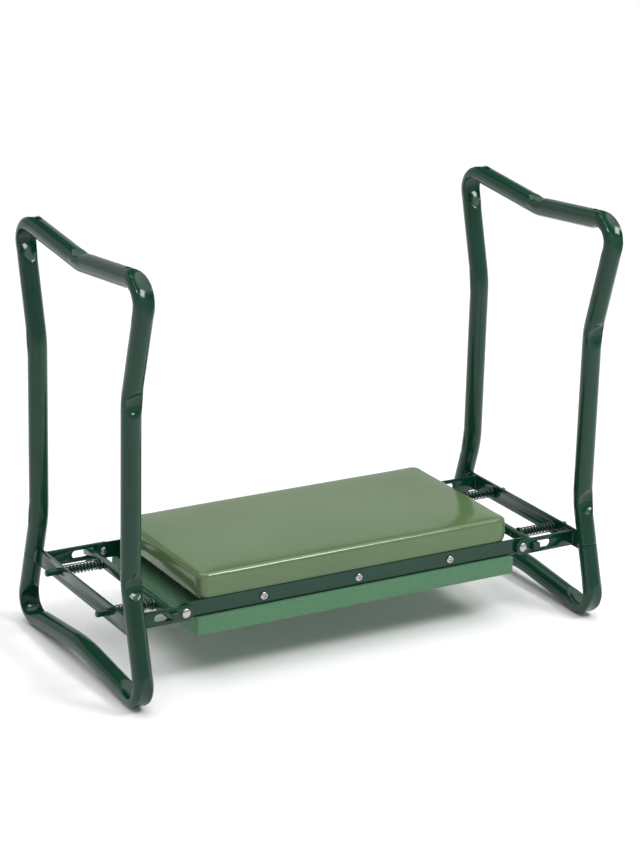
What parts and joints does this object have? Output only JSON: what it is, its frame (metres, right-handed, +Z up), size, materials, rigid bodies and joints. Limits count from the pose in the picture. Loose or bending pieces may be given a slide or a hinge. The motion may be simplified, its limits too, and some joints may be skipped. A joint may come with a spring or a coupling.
{
  "type": "garden kneeler seat",
  "caption": "Padded garden kneeler and bench: a long cushion on angle rails between folding tube hoops that serve as handles or legs, with sprung latch bars",
  "frame": {"origin": "on the floor, under the middle of the seat: the centre of the overall box at its bottom", "axes": "+X along the seat towards the right end, +Y towards the rear long edge, +Z up, with the hoops standing as handles above the seat"},
  "size_m": [0.614, 0.3152, 0.4827],
  "materials": {
    "green_steel": "gloss",
    "pad_skin": "gloss",
    "pad_foam": "matte",
    "backing_cloth": "matte",
    "board": "matte",
    "kneeling_foam": "matte",
    "bright_steel": "satin",
    "spring_steel": "satin"
  },
  "bodies": {
    "seat": {"pad_skin": "pad_skin", "pad_foam": "pad_foam", "base_board": "board", "backing_cloth": "backing_cloth", "kneeling_board": "kneeling_foam", "rail_front": "green_steel", "screw_front_1": "bright_steel", "screw_front_2": "bright_steel", "screw_front_3": "bright_steel", "rivet_left_front": "bright_steel", "spacer_left_front": "bright_steel", "rivet_right_front": "bright_steel", "spacer_right_front": "bright_steel", "rail_rear": "green_steel", "screw_rear_1": "bright_steel", "screw_rear_2": "bright_steel", "screw_rear_3": "bright_steel", "rivet_left_rear": "bright_steel", "spacer_left_rear": "bright_steel", "rivet_right_rear": "bright_steel", "spacer_right_rear": "bright_steel"},
    "left_leg": {"left_hoop": "green_steel", "left_cross_plate": "green_steel", "left_arm_rear": "green_steel", "left_spring_rear": "spring_steel", "left_arm_front": "green_steel", "left_spring_front": "spring_steel"},
    "right_leg": {"right_hoop": "green_steel", "right_cross_plate": "green_steel", "right_arm_front": "green_steel", "right_spring_front": "spring_steel", "right_arm_rear": "green_steel", "right_spring_rear": "spring_steel"},
    "left_latch": {"left_latch_bar": "green_steel", "left_guide_pin_rear": "green_steel", "left_collar_rear": "spring_steel", "left_guide_pin_front": "green_steel", "left_collar_front": "spring_steel"},
    "right_latch": {"right_latch_bar": "green_steel", "right_guide_pin_front": "green_steel", "right_collar_front": "spring_steel", "right_guide_pin_rear": "green_steel", "right_collar_rear": "spring_steel"}
  },
  "joints": [
    {"name": "left_fold", "type": "hinge", "parent": "seat", "child": "left_leg", "pos_m": [-0.219, 0, 0.087], "axis": [0, 1, 0], "range_deg": [0, 93]},
    {"name": "right_fold", "type": "hinge", "parent": "seat", "child": "right_leg", "pos_m": [0.219, 0, 0.087], "axis": [0, -1, 0], "range_deg": [0, 86]},
    {"name": "left_latch_pull", "type": "slide", "parent": "left_leg", "child": "left_latch", "axis": [-1, 0, 0], "range_m": [0, 0.0145], "stiffness_N_per_m": 1500, "springref_m": -0.008, "deforming": ["left_spring_rear", "left_spring_front"]},
    {"name": "right_latch_pull", "type": "slide", "parent": "right_leg", "child": "right_latch", "axis": [1, 0, 0], "range_m": [0, 0.0145], "stiffness_N_per_m": 1500, "springref_m": -0.008, "deforming": ["right_spring_front", "right_spring_rear"]}
  ]
}
